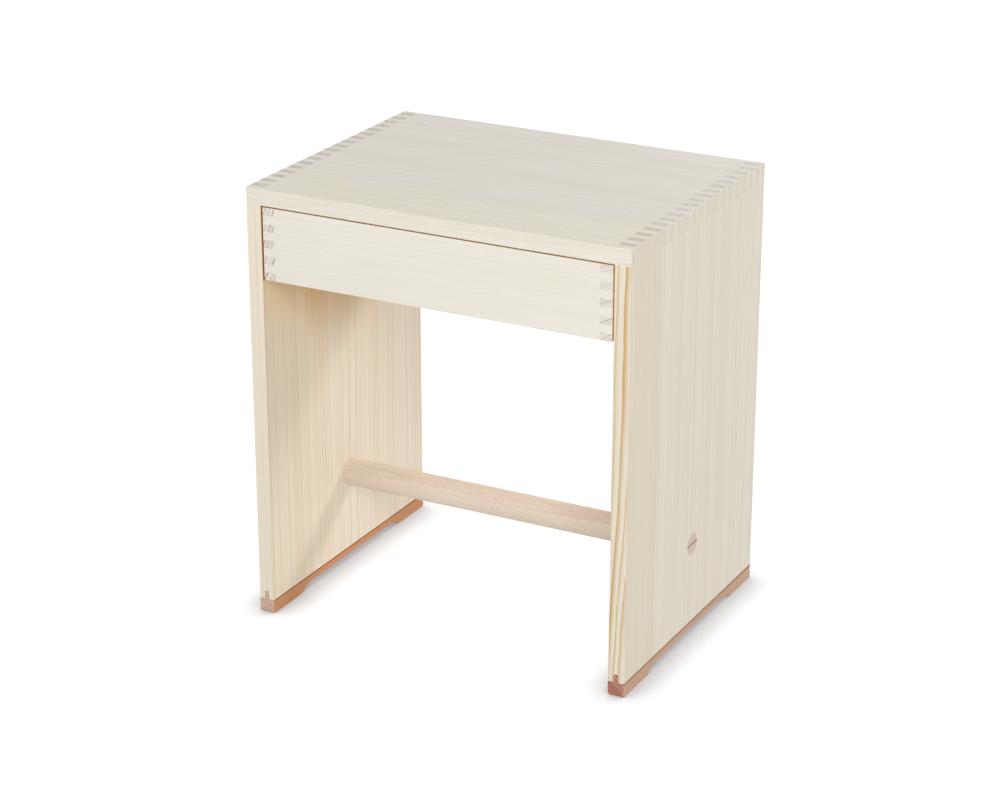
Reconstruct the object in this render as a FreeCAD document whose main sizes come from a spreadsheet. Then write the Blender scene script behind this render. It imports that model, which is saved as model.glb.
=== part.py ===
"""Box stool with a drawer, in solid wood.

Two upright sides carry a seat on finger joints. A round rod ties the sides near the floor, with its tenons
wedged through them, and each side stands on a hardwood rail. A finger-jointed drawer hangs on two runners
under the seat. The origin is on the floor under the middle of the stool, +X to the right seen from the
front, +Y to the back and +Z up. All sizes are in millimetres.
"""
import FreeCAD, Part
import os
import re

import Sketcher

# Driving sizes
SIZES = {
    # Overall box
    "stool_width": 400.0,
    "stool_depth": 300.0,
    "stool_height": 440.0,
    "carcass_arris": 0.8,
    # Boards of the seat and the sides, and their finger joints
    "seat_thickness": 16.5,
    "side_thickness": 16.5,
    "finger_width": 8.2,
    "least_end_finger": 6.0,
    # Widths of the glued staves, where the one before the back stave takes the rest of the depth, and the
    # least wood between the rod's bore and a glue line
    "seat_front_stave": 72.0,
    "seat_front_mid_stave": 76.0,
    "seat_back_stave": 76.0,
    "left_side_front_stave": 73.5,
    "left_side_front_mid_stave": 52.5,
    "left_side_back_stave": 62.0,
    "right_side_front_stave": 62.0,
    "right_side_front_mid_stave": 48.0,
    "right_side_back_stave": 95.0,
    "bore_cover": 10.0,
    # Foot rails and the tongues that hold them in the sides
    "foot_height": 14.5,
    "foot_pad_length": 53.0,
    "foot_arch_rise": 7.0,
    "foot_arch_radius": 30.0,
    "foot_toe_radius": 2.0,
    "tongue_width": 5.0,
    "tongue_height": 7.5,
    "tongue_gap": 0.4,
    # Stretcher rod, its tenons and their wedges
    "rod_diameter": 28.0,
    "rod_height": 97.5,
    "tenon_diameter": 22.0,
    "tenon_play": 0.1,
    "wedge_thickness": 3.0,
    "wedge_tip_thickness": 1.2,
    "wedge_length": 13.0,
    # Drawer box
    "drawer_length": 288.0,
    "drawer_height": 72.0,
    "drawer_wall": 12.5,
    "drawer_fingers": 9,
    "drawer_top_gap": 1.2,
    "drawer_side_gap": 1.3,
    "drawer_arris": 0.5,
    "bottom_thickness": 5.0,
    "bottom_rise": 9.5,
    "bottom_tongue": 6.0,
    "bottom_play": 0.25,
    # Runners and their countersunk screws
    "runner_height": 10.0,
    "runner_reach": 7.5,
    "runner_drop": 21.0,
    "runner_front_inset": 25.0,
    "runner_back_inset": 2.0,
    "runner_play": 0.3,
    "screw_diameter": 3.5,
    "screw_head_diameter": 7.0,
    "screw_bite": 12.5,
    "screw_tip_length": 5.0,
    "screw_tip_diameter": 0.8,
    "screw_inset": 22.0,
    "screw_play": 0.1,
}

# Formulas that follow from the driving sizes
FRONT = "(-stool_depth / 2)"
BACK = "(stool_depth / 2)"
INNER = "(stool_width / 2 - side_thickness)"
SEAT_UNDER = "(stool_height - seat_thickness)"
SIDE_RISE = f"({SEAT_UNDER} - foot_height)"
FINGER_COUNT = "floor((stool_depth - 2 * least_end_finger + finger_width) / (2 * finger_width))"
END_FINGER = f"((stool_depth - (2 * {FINGER_COUNT} - 1) * finger_width) / 2)"
DRAWER_WIDTH = f"(2 * {INNER} - 2 * drawer_side_gap)"
DRAWER_LOW = f"({SEAT_UNDER} - drawer_top_gap - drawer_height)"
DRAWER_BACK = f"({FRONT} + drawer_length)"
DRAWER_FINGER = "(drawer_height / drawer_fingers)"
RUNNER_LOW = f"({SEAT_UNDER} - drawer_top_gap - runner_drop - runner_height)"
RUNNER_MIDDLE = f"({RUNNER_LOW} + runner_height / 2)"
RUNNER_FRONT = f"({FRONT} + runner_front_inset)"
RUNNER_BACK = f"({DRAWER_BACK} - runner_back_inset)"
SCREW_PLACES = (
    f"({RUNNER_FRONT} + screw_inset)",
    f"(({RUNNER_FRONT} + {RUNNER_BACK}) / 2)",
    f"({RUNNER_BACK} - screw_inset)",
)
SIDES = ("left", "right")
STAVES = ("front", "front_mid", "back_mid", "back")
SAME_PLACE = 1e-6

# Rotations that lay a board's length, width and thickness along the stool's axes
LYING = FreeCAD.Rotation()
FACING_FRONT = FreeCAD.Rotation(FreeCAD.Vector(1, 0, 0), 90)
FACING_SIDE = FreeCAD.Rotation(FreeCAD.Vector(1, 1, 1), 120)
ALONG_X = FreeCAD.Rotation(FreeCAD.Vector(0, 1, 0), 90)
AGAINST_X = FreeCAD.Rotation(FreeCAD.Vector(0, 1, 0), -90)

doc = FreeCAD.newDocument("drawer_stool")
sheet = doc.addObject("Spreadsheet::Sheet", "sizes")
for row, (alias, size) in enumerate(SIZES.items(), start=1):
    sheet.set(f"A{row}", alias)
    sheet.set(f"B{row}", str(size))
    sheet.setAlias(f"B{row}", alias)
doc.recompute()

nodes = []


def cells(formula):
    """Writes each size in a formula as its cell in the sheet."""
    return re.sub(r"[a-z_]+", lambda word: f"sizes.{word[0]}" if word[0] in SIZES else word[0], formula)


def value(formula):
    """A formula's length at the sizes now in the sheet."""
    return float(sheet.evalExpression(cells(formula)))


def bind(item, prop, formula):
    """Ties a property of a document object to a formula of the sheet's sizes."""
    item.setExpression(prop, cells(formula))


def place(item, corner, rotation=LYING):
    """Turns an object and ties its corner to three formulas."""
    item.Placement = FreeCAD.Placement(FreeCAD.Vector(), rotation)
    for axis, formula in zip("xyz", corner):
        bind(item, f"Placement.Base.{axis}", formula)


def mirrored(side, near, width):
    """Lowest x of a piece on one side that begins at near from the middle plane."""
    return near if side == "right" else f"-({near} + {width})"


def node(item):
    """Keeps an object as one of the stool's pieces."""
    nodes.append(item)


# Solids and cuts

def box(name, corner, size):
    """A box tied by its lowest corner and its three sizes."""
    solid = doc.addObject("Part::Box", name)
    for prop, formula in zip(("Length", "Width", "Height"), size):
        bind(solid, prop, formula)
    place(solid, corner)
    return solid


def cylinder(name, corner, diameter, length, rotation=ALONG_X):
    """A cylinder that starts at a point, tied by its diameter and length."""
    solid = doc.addObject("Part::Cylinder", name)
    bind(solid, "Radius", f"({diameter}) / 2")
    bind(solid, "Height", length)
    place(solid, corner, rotation)
    return solid


def cone(name, corner, diameters, length, rotation):
    """A cone that starts at a point, tied by its two diameters and its length."""
    solid = doc.addObject("Part::Cone", name)
    for prop, diameter in zip(("Radius1", "Radius2"), diameters):
        bind(solid, prop, f"({diameter}) / 2")
    bind(solid, "Height", length)
    place(solid, corner, rotation)
    return solid


def fuse(name, shapes):
    """Several solids made one."""
    solid = doc.addObject("Part::MultiFuse", name)
    solid.Shapes = shapes
    return solid


def cut(name, base, tools):
    """A solid with the room of several others taken out of it."""
    solid = doc.addObject("Part::Cut", name)
    solid.Base = base
    solid.Tool = fuse(f"{name}_cuts", tools) if len(tools) > 1 else tools[0]
    return solid


def common(name, first, second):
    """What two solids share."""
    solid = doc.addObject("Part::Common", name)
    solid.Base = first
    solid.Tool = second
    return solid


# Bodies drawn in sketches

def outline(body, name, plane, loops):
    """Straight-sided loops on one of a body's origin planes, with every corner tied to two formulas."""
    sketch = body.newObject("Sketcher::SketchObject", f"{body.Name}_{name}")
    support = next(feature for feature in body.Origin.OriginFeatures if feature.Role == plane)
    sketch.AttachmentSupport = [(support, "")]
    sketch.MapMode = "FlatFace"
    for loop in loops:
        first = sketch.GeometryCount
        corners = [FreeCAD.Vector(value(x), value(y), 0) for x, y in loop]
        lines = range(first, first + len(corners))
        for start, end in zip(corners, corners[1:] + corners[:1]):
            sketch.addGeometry(Part.LineSegment(start, end), False)
        for line in lines:
            following = first + (line - first + 1) % len(corners)
            sketch.addConstraint(Sketcher.Constraint("Coincident", line, 2, following, 1))
        for line, corner, formulas in zip(lines, corners, loop):
            for kind, distance, formula in zip(("DistanceX", "DistanceY"), corner, formulas):
                index = sketch.addConstraint(Sketcher.Constraint(kind, -1, 1, line, 1, distance))
                bind(sketch, f"Constraints[{index}]", formula)
    return sketch


def rectangle(low, high):
    """The four corners of a rectangle from its lowest and highest ones."""
    return [low, (high[0], low[1]), high, (low[0], high[1])]


def pad(body, name, sketch, length, both_ways=False):
    """A sketch drawn out into a solid, to one side of its plane or evenly to both."""
    feature = body.newObject("PartDesign::Pad", f"{body.Name}_{name}")
    feature.Profile = sketch
    feature.SideType = "Symmetric" if both_ways else "One side"
    bind(feature, "Length", length)
    return feature


def pocket(body, name, sketch):
    """A sketch cut right through the body, both ways from its plane."""
    feature = body.newObject("PartDesign::Pocket", f"{body.Name}_{name}")
    before = body.Shape.Volume
    feature.Profile = sketch
    feature.SideType = "Symmetric"
    feature.Type = "ThroughAll"
    doc.recompute()
    if not feature.Shape.Volume < before:
        raise RuntimeError(f"{feature.Name} cuts nothing")
    return feature


def repeat(body, name, feature, sketch, axis, step, count):
    """A feature repeated at even steps along one axis of its sketch."""
    pattern = body.newObject("PartDesign::LinearPattern", f"{body.Name}_{name}")
    pattern.Originals = [feature]
    pattern.Direction = (sketch, [axis])
    bind(pattern, "Length", f"({count} - 1) * {step}")
    bind(pattern, "Occurrences", count)
    body.Tip = pattern
    return pattern


def ease(body, name, feature, radius, axis, level_axis, level):
    """Rounds a feature's edges that run along one axis at one level of another."""
    edges = []
    for number, edge in enumerate(feature.Shape.Edges, start=1):
        start, end = (vertex.Point for vertex in edge.Vertexes)
        run = abs(getattr(end, axis) - getattr(start, axis))
        at_level = abs(getattr(start, level_axis) - value(level)) < SAME_PLACE
        if at_level and abs(edge.Length - run) < SAME_PLACE:
            edges.append(f"Edge{number}")
    rounding = body.newObject("PartDesign::Fillet", f"{body.Name}_{name}")
    rounding.Base = (feature, edges)
    bind(rounding, "Radius", radius)
    return rounding


def board(name, length, width, thickness, corner, rotation):
    """A plain board, drawn flat and then laid in its place."""
    body = doc.addObject("PartDesign::Body", name)
    face = outline(body, "face", "XY_Plane", [rectangle(("0", "0"), (length, width))])
    blank = pad(body, "blank", face, thickness)
    place(body, corner, rotation)
    doc.recompute()
    return body, blank


def rounded_block(name, corner, size, radius):
    """A block with all its edges rounded, which eases the arrises of the pieces inside it."""
    body, blank = board(name, *size, corner, LYING)
    rounding = body.newObject("PartDesign::Fillet", f"{name}_arrises")
    rounding.Base = (blank, ["Edge1"])
    rounding.UseAllEdges = True
    bind(rounding, "Radius", radius)
    return body


# Seat and sides

def seat_panel():
    """The seat board, with sockets along both ends for the fingers of the sides."""
    body, _ = board(
        "seat_panel", "stool_width", "stool_depth", "seat_thickness",
        ("-stool_width / 2", FRONT, SEAT_UNDER), LYING,
    )
    finger_back = f"{END_FINGER} + finger_width"
    ends = outline(body, "socket", "XY_Plane", [
        rectangle(("0", END_FINGER), ("side_thickness", finger_back)),
        rectangle(("stool_width - side_thickness", END_FINGER), ("stool_width", finger_back)),
    ])
    socket = pocket(body, "sockets", ends)
    repeat(body, "socket_row", socket, ends, "V_Axis", "2 * finger_width", FINGER_COUNT)
    return body


def side_panel(side):
    """One upright side, with fingers along its top and its inner front and back edges eased."""
    body, blank = board(
        f"{side}_side_panel", "stool_depth", SIDE_RISE, "side_thickness",
        (mirrored(side, INNER, "side_thickness"), FRONT, "foot_height"), FACING_SIDE,
    )
    inner_face = "0" if side == "right" else "side_thickness"
    ease(body, "inner_arrises", blank, "carcass_arris", "y", "z", inner_face)
    finger = outline(body, "finger", "XY_Plane", [
        rectangle((END_FINGER, SIDE_RISE), (f"{END_FINGER} + finger_width", f"{SIDE_RISE} + seat_thickness")),
    ])
    first = pad(body, "finger_pad", finger, "side_thickness")
    doc.recompute()
    repeat(body, "finger_row", first, finger, "H_Axis", "2 * finger_width", FINGER_COUNT)
    return body


def split_into_staves(panel_name, eased_panel, bored):
    """The staves that a panel is glued up from, front to back, with the rod's bore inside one of them."""
    first_joint = f"({FRONT} + {panel_name}_front_stave)"
    second_joint = f"({first_joint} + {panel_name}_front_mid_stave)"
    last_joint = f"({BACK} - {panel_name}_back_stave)"
    if bored:
        clear_of_bore = "(tenon_diameter / 2 + tenon_play + bore_cover)"
        second_joint = f"min({second_joint}; -{clear_of_bore})"
        last_joint = f"max({last_joint}; {clear_of_bore})"
    joints = (FRONT, first_joint, second_joint, last_joint, BACK)
    for stave, start, end in zip(STAVES, joints, joints[1:]):
        slab = box(
            f"{panel_name}_{stave}_slab",
            ("-stool_width", start, "-stool_height"),
            ("2 * stool_width", f"{end} - {start}", "3 * stool_height"),
        )
        node(common(f"{panel_name}_{stave}_stave", eased_panel, slab))


# Foot rails

def foot_rail(side, carcass_block):
    """A hardwood rail under one side: a tongue on top, rounded toes and a shallow arch between its pads."""
    name = f"{side}_foot_rail"
    body, blank = board(
        f"{name}_blank", "stool_depth", "foot_height", "side_thickness",
        (mirrored(side, INNER, "side_thickness"), FRONT, "0"), FACING_SIDE,
    )
    ease(body, "toes", blank, "foot_toe_radius", "z", "y", "0")
    tongue = outline(body, "tongue", "XY_Plane", [
        rectangle(("0", "foot_height"), ("stool_depth", "foot_height + tongue_height")),
    ])
    bind(tongue, "AttachmentOffset.Base.z", "(side_thickness - tongue_width) / 2")
    pad(body, "tongue_pad", tongue, "tongue_width")
    arch_run = "sqrt(foot_arch_radius ^ 2 - (foot_arch_radius - foot_arch_rise) ^ 2)"
    arch_end = f"(stool_depth / 2 - foot_pad_length - {arch_run})"
    across = mirrored(side, f"({INNER} - side_thickness)", "3 * side_thickness")
    arch = [box(
        f"{name}_arch_flat",
        (across, f"-{arch_end}", "-foot_height"),
        ("3 * side_thickness", f"2 * {arch_end}", "foot_height + foot_arch_rise"),
    )]
    for end, sign in (("front", "-"), ("back", "")):
        arch.append(cylinder(
            f"{name}_arch_{end}",
            (across, f"{sign}{arch_end}", "foot_arch_rise - foot_arch_radius"),
            "2 * foot_arch_radius", "3 * side_thickness",
        ))
    node(common(name, cut(f"{name}_arched", body, arch), carcass_block))


def tongue_groove(side):
    """The room along a side's lower edge for the foot rail's tongue."""
    near = f"({INNER} + (side_thickness - tongue_width) / 2)"
    return box(
        f"{side}_tongue_groove",
        (mirrored(side, near, "tongue_width"), "-stool_depth", "0"),
        ("tongue_width", "2 * stool_depth", "foot_height + tongue_height + tongue_gap"),
    )


# Stretcher rod

def wedge_prism(side):
    """The tapered slot across a tenon's end, which its wedge fills."""
    sign = "" if side == "right" else "-"
    outer = f"{sign}(stool_width / 2)"
    tip = f"{sign}(stool_width / 2 - wedge_length)"
    body = doc.addObject("PartDesign::Body", f"{side}_wedge_prism")
    profile = outline(body, "taper", "XZ_Plane", [[
        (outer, "rod_height - wedge_thickness / 2"),
        (outer, "rod_height + wedge_thickness / 2"),
        (tip, "rod_height + wedge_tip_thickness / 2"),
        (tip, "rod_height - wedge_tip_thickness / 2"),
    ]])
    pad(body, "across", profile, "2 * tenon_diameter", both_ways=True)
    return body


def stretcher():
    """The rod with a round tenon at each end, each slotted and wedged."""
    rod = cylinder("rod_shaft", (f"-{INNER}", "0", "rod_height"), "rod_diameter", f"2 * {INNER}")
    tenons = cylinder("rod_tenons", ("-stool_width / 2", "0", "rod_height"), "tenon_diameter", "stool_width")
    prisms = [wedge_prism(side) for side in SIDES]
    for side, prism in zip(SIDES, prisms):
        node(common(f"{side}_rod_wedge", tenons, prism))
    node(cut("stretcher_rod", fuse("rod_turned", [rod, tenons]), prisms))


def tenon_bore():
    """The bore through both sides for the rod's tenons."""
    return cylinder(
        "tenon_bore", ("-stool_width", "0", "rod_height"),
        "tenon_diameter + 2 * tenon_play", "2 * stool_width",
    )


# Runners and screws

def screw(name, side, y, play):
    """A countersunk screw that enters the runner's inner face, or with some play the hole that takes it."""
    sign, turn = ("", ALONG_X) if side == "right" else ("-", AGAINST_X)
    head_depth = "((screw_head_diameter - screw_diameter) / 2)"
    face = f"({INNER} - runner_reach)"

    def at(depth):
        return (f"{sign}({face} + {depth})", y, RUNNER_MIDDLE)

    wide = f"screw_diameter + 2 * {play}"
    head = cone(
        f"{name}_head", at("0"), (f"screw_head_diameter + 2 * {play}", wide), head_depth, turn,
    )
    shank_length = f"(runner_reach + screw_bite - {head_depth} - screw_tip_length)"
    shank = cylinder(f"{name}_shank", at(head_depth), wide, shank_length, turn)
    tip = cone(
        f"{name}_tip", at(f"({head_depth} + {shank_length})"),
        (wide, f"screw_tip_diameter + 2 * {play}"), f"screw_tip_length + {play}", turn,
    )
    return fuse(name, [head, shank, tip])


def runner(side):
    """A hardwood strip that carries the drawer, with its screws; returns the screws' holes."""
    holes = []
    screws = []
    for number, y in enumerate(SCREW_PLACES, start=1):
        holes.append(screw(f"{side}_screw_hole_{number}", side, y, "screw_play"))
        screws.append(screw(f"{side}_screw_{number}", side, y, "0"))
    strip = box(
        f"{side}_runner_strip",
        (mirrored(side, f"({INNER} - runner_reach)", "runner_reach"), RUNNER_FRONT, RUNNER_LOW),
        ("runner_reach", f"{RUNNER_BACK} - {RUNNER_FRONT}", "runner_height"),
    )
    node(cut(f"{side}_drawer_runner", strip, holes))
    group = doc.addObject("Part::Compound", f"{side}_runner_screws")
    group.Links = screws
    node(group)
    return holes


# Drawer

def runner_groove(side):
    """The groove along one drawer side that rides on the runner and stops behind the drawer's front."""
    reach = "(runner_reach + runner_play)"
    return box(
        f"{side}_runner_groove",
        (mirrored(side, f"({INNER} - {reach})", reach), f"{RUNNER_FRONT} - runner_play",
         f"{RUNNER_LOW} - runner_play"),
        (reach, "stool_depth", "runner_height + 2 * runner_play"),
    )


def bottom_panel(name, play):
    """The drawer's bottom, or with some play the groove round the walls that holds it."""
    edge = f"(drawer_wall - bottom_tongue - {play})"
    return box(
        name,
        (f"-({DRAWER_WIDTH} / 2 - {edge})", f"{FRONT} + {edge}", f"{DRAWER_LOW} + bottom_rise - {play}"),
        (f"{DRAWER_WIDTH} - 2 * {edge}", f"drawer_length - 2 * {edge}", f"bottom_thickness + 2 * {play}"),
    )


def drawer_board(name, length, corner, rotation, first_socket, socket_count):
    """One wall of the drawer, with a row of finger sockets at each end."""
    body, _ = board(f"{name}_board", length, "drawer_height", "drawer_wall", corner, rotation)
    low = f"{first_socket} * {DRAWER_FINGER}"
    high = f"({first_socket} + 1) * {DRAWER_FINGER}"
    ends = outline(body, "socket", "XY_Plane", [
        rectangle(("0", low), ("drawer_wall", high)),
        rectangle((f"{length} - drawer_wall", low), (length, high)),
    ])
    socket = pocket(body, "sockets", ends)
    repeat(body, "socket_row", socket, ends, "V_Axis", f"2 * {DRAWER_FINGER}", socket_count)
    return body


def drawer():
    """The drawer box: front, back and sides on finger joints, round a bottom held in their grooves."""
    half_width = f"({DRAWER_WIDTH} / 2)"
    block = rounded_block(
        "drawer_block", (f"-{half_width}", FRONT, DRAWER_LOW),
        (DRAWER_WIDTH, "drawer_length", "drawer_height"), "drawer_arris",
    )
    bottom_groove = bottom_panel("drawer_bottom_groove", "bottom_play")
    grooves = {side: runner_groove(side) for side in SIDES}
    outer_count = "floor((drawer_fingers + 1) / 2)"
    inner_count = "floor(drawer_fingers / 2)"
    ends = {"front": f"{FRONT} + drawer_wall", "back": DRAWER_BACK}
    for end, y in ends.items():
        body = drawer_board(
            f"drawer_{end}", DRAWER_WIDTH, (f"-{half_width}", y, DRAWER_LOW), FACING_FRONT, "0", outer_count,
        )
        tools = [bottom_groove] + (list(grooves.values()) if end == "back" else [])
        node(common(f"drawer_{end}", cut(f"drawer_{end}_grooved", body, tools), block))
    for side in SIDES:
        x = mirrored(side, f"({half_width} - drawer_wall)", "drawer_wall")
        body = drawer_board(
            f"drawer_{side}_side", "drawer_length", (x, FRONT, DRAWER_LOW), FACING_SIDE, "1", inner_count,
        )
        grooved = cut(f"drawer_{side}_side_grooved", body, [bottom_groove, grooves[side]])
        node(common(f"drawer_{side}_side", grooved, block))
    node(bottom_panel("drawer_bottom", "0"))


# Whole stool

def carcass():
    """Seat, sides, feet, rod and runners."""
    block = rounded_block(
        "carcass_block", ("-stool_width / 2", FRONT, "-stool_height"),
        ("stool_width", "stool_depth", "2 * stool_height"), "carcass_arris",
    )
    split_into_staves("seat", common("seat_eased", seat_panel(), block), bored=False)
    bore = tenon_bore()
    for side in SIDES:
        cuts = [tongue_groove(side), bore] + runner(side)
        fitted = cut(f"{side}_side_fitted", side_panel(side), cuts)
        split_into_staves(f"{side}_side", common(f"{side}_side_eased", fitted, block), bored=True)
        foot_rail(side, block)
    stretcher()


def check_and_write():
    """Stops at any failed object or empty piece, then writes each piece to its own file."""
    for item in doc.Objects:
        if {"Invalid", "Error"} & set(item.State):
            raise RuntimeError(f"{item.Name} failed")
    for item in nodes:
        if item.Shape.isNull() or not item.Shape.isValid() or item.Shape.Volume <= 0:
            raise RuntimeError(f"{item.Label} has no sound shape")
    os.makedirs("parts", exist_ok=True)
    for item in nodes:
        item.Shape.exportStep(f"parts/{item.Label}.step")
        print(f"{item.Label}: {len(item.Shape.Solids)} solid(s), {item.Shape.Volume / 1000:.2f} cm3")


carcass()
drawer()
doc.recompute()
check_and_write()
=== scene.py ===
"""Looks of a finger-jointed spruce stool with a drawer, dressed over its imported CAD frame.

The scene is in metres, in the stool's own frame: the origin on the floor under its middle, +X to the right
seen from the front, +Y to the back and +Z up. The stool's own sizes are given in millimetres.
"""
import logging
import math
from abc import ABC, abstractmethod
from collections.abc import Iterator
from dataclasses import dataclass, replace
from enum import Enum
from functools import partial, reduce
from itertools import accumulate

import bpy
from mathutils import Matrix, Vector


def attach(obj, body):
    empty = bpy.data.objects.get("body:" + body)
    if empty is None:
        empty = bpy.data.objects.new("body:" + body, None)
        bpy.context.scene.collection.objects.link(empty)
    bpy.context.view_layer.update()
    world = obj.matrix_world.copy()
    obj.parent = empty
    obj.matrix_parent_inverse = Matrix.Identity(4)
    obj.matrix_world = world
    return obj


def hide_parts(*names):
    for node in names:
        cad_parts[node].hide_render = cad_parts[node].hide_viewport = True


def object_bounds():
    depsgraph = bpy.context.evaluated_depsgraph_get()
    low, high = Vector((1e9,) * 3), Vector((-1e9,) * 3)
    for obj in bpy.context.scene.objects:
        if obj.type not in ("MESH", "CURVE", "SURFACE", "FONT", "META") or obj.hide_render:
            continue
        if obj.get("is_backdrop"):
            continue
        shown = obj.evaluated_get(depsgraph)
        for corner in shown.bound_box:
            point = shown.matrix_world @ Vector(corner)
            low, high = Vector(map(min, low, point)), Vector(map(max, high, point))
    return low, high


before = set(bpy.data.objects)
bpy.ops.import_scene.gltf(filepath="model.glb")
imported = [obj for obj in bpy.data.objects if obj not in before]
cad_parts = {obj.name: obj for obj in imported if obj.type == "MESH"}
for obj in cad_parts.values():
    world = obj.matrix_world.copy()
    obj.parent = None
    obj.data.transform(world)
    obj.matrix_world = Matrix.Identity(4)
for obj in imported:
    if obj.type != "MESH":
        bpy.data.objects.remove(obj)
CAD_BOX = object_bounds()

LOG = logging.getLogger("stool")
CARCASS = "carcass"
STAVE_NAMES = ("front", "front_mid", "back_mid", "back")
MM = 0.001

# How near faces lie to count as level, in metres, and the turn above which an edge stays sharp
NEAR = 1e-6
SMOOTH_ANGLE = math.radians(30)

Colour = tuple[float, float, float]
Triple = tuple[float, float, float]
Pair = tuple[float, float]
Piece = bpy.types.Object
Socket = bpy.types.NodeSocket
Value = float | Colour | Socket


class Axis(Enum):
    """One of the stool's axes."""

    X = "X"
    Y = "Y"
    Z = "Z"


class Grain(Enum):
    """The axis of the stool that a board's grain runs along: the two axes across it, then its own."""

    ALONG_X = "YZX"
    ALONG_Y = "XZY"
    ALONG_Z = "XYZ"


class Side(Enum):
    """One side of the stool, with its sign along X."""

    LEFT = -1
    RIGHT = 1

    @property
    def word(self) -> str:
        """The side's name as the CAD nodes spell it."""
        return self.name.lower()

    @property
    def other(self) -> "Side":
        """The side across from it."""
        return Side(-self.value)


class Slot(Enum):
    """The record's material slot names for beech and screw steel, which nothing in the script uses."""

    BEECH = "beech"
    STEEL = "screw_steel"


def tone(red: int, green: int, blue: int) -> Colour:
    """Turns a display colour into the linear one that shaders take.

    Args:
        red: Red, 0 to 255.
        green: Green, 0 to 255.
        blue: Blue, 0 to 255.

    Returns:
        The linear colour.
    """
    def linear(value: int) -> float:
        """One channel of the colour, linear."""
        share = value / 255
        return share / 12.92 if share <= 0.04045 else ((share + 0.055) / 1.055) ** 2.4

    return linear(red), linear(green), linear(blue)


@dataclass(frozen=True)
class LogCut:
    """Where in the tree a board was sawn from.

    Attributes:
        grain: The axis that the grain runs along.
        pith: Where the tree's middle lies across the grain, in millimetres of the stool's frame.
        ring: Mean width of a year's growth.
        wander: How far the rings stray over a hand's length.
        ripple: How far they stray over a finger's width.
        tilt: How far the tree's axis leans from the board's, in degrees.
        along: How far along the tree the board starts, which sets its own figure.
    """

    grain: Grain
    pith: Pair
    ring: float = 2.4
    wander: float = 2.0
    ripple: float = 0.35
    tilt: Pair = (0.0, 0.0)
    along: float = 0.0


@dataclass(frozen=True)
class WoodFinish:
    """Colours and texture of one kind of wood, lightly oiled.

    Attributes:
        early: The pale spring growth on a planed face.
        late: The dark summer growth on a planed face.
        end_early: Spring growth on end grain.
        end_late: Summer growth on end grain.
        figure: How clearly the rings show on a planed face.
        front_figure: How clearly they show on a face turned to the front or the back.
        front_painted_shade: The painted shade on such a face, by red, green and blue.
        fibre: How much fine fibres change the tone.
        streak: How much broad streaks along the grain change the tone.
        cloud: How much the tone drifts over the board.
        flecks: How clearly the ray flecks show.
        fleck_tone: Their colour.
        end_lines: How narrow summer growth is on end grain, from broad below 1 to fine above it.
        weakest: How clearly the faintest year shows against the clearest.
        rare: How rare clear years are, from 1 for as many clear as faint.
        roughness: Roughness of the planed face.
        relief: Height of the grain, in millimetres.
    """

    early: Colour
    late: Colour
    end_early: Colour
    end_late: Colour
    figure: float = 0.5
    front_figure: float = 0.5
    front_painted_shade: Colour = (1.0, 1.0, 1.0)
    fibre: float = 0.08
    streak: float = 0.05
    cloud: float = 0.03
    flecks: float = 0.0
    fleck_tone: Colour = tone(176, 134, 104)
    end_lines: float = 0.7
    weakest: float = 0.2
    rare: float = 1.3
    roughness: float = 0.55
    relief: float = 0.03


@dataclass(frozen=True)
class Shade:
    """A part of a board that is tinted: painted shade where it lies in a gap or under the drawer, or a dark
    line along a joint.

    Faces that are turned to the front or the back keep their own tone.

    Attributes:
        axis: The axis that its depth is measured along.
        full: Where the tint is full, in millimetres.
        clear: Where it ends.
        tint: What it does to red, green and blue.
        above: Height that it starts at.
        within: How far it reaches along X from the stool's middle.
        cover: How near another board must lie for the tint to show, in millimetres, or 0 for any distance.
    """

    axis: Axis
    full: float
    clear: float
    tint: Colour
    above: float = -1.0
    within: float = 300.0
    cover: float = 0.0


@dataclass(frozen=True)
class SteelFinish:
    """Zinc-plated steel with faint turning marks.

    Attributes:
        bright: Its bright patches.
        dull: Its dull patches.
        roughness: Its mean roughness.
        drift: How far the marks change that, down and up.
        patches: How many patches fit in a millimetre, axis by axis.
        marks: How many marks do.
    """

    bright: Colour = tone(196, 198, 200)
    dull: Colour = tone(158, 160, 163)
    roughness: float = 0.34
    drift: Pair = (-0.08, 0.12)
    patches: Triple = (0.9, 0.9, 0.9)
    marks: Triple = (14.0, 1.2, 1.2)


# How many lumps of each noise fit in a millimetre of the tree: both ways across the grain, then along it
STRAY_LUMPS = (0.012, 0.012, 0.0032)
RIPPLE_LUMPS = (0.07, 0.07, 0.011)
FIBRE_LUMPS = (0.9, 0.9, 0.006)
STREAK_LUMPS = (0.16, 0.16, 0.002)
CLOUD_LUMPS = (0.022, 0.022, 0.0045)
SPECKLE_LUMPS = (2.2, 2.2, 0.3)
FLECK_LUMPS = (0.8, 0.8, 0.19)
FLECK_GROUP_LUMPS = (0.05, 0.05, 0.012)

# Where most of a noise lies, and the noises' layers where they aren't the usual two
NOISE_BULK = (0.3, 0.7)
PLAIN, FINE = 1.0, 3.0

# How soon the years' width changes and by how much of a year, and how dark growth gets through a year
YEAR_PACE = 0.31
YEAR_DRIFT = 0.7
SEASON_ENDS = (0.0, 0.1)
SEASON = ((0.4, 0.06), (0.72, 0.5), (0.88, 1.0), (0.95, 0.95))

# How squarely a face is turned to start and to fully count as a front, an untinted front or an end
FRONT_TURN = (0.3, 0.8)
UNTINTED_TURN = (0.75, 0.95)
END_TURN = (0.6, 0.85)

# A fleck's rim, how thick the groups of flecks are, the figure's least share, and how much ends speckle
FLECK_RIM = (0.12, 0.30)
FLECK_GROUP = (0.34, 0.54)
FAINT_FIGURE = 0.6
SPECKLE = 0.10

# How far from a glued joint its tone is full and where it ends, in metres, and that tone
GLUE_LINE = (0.0001, 0.0004)
GLUE_TONE = 0.86

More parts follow.
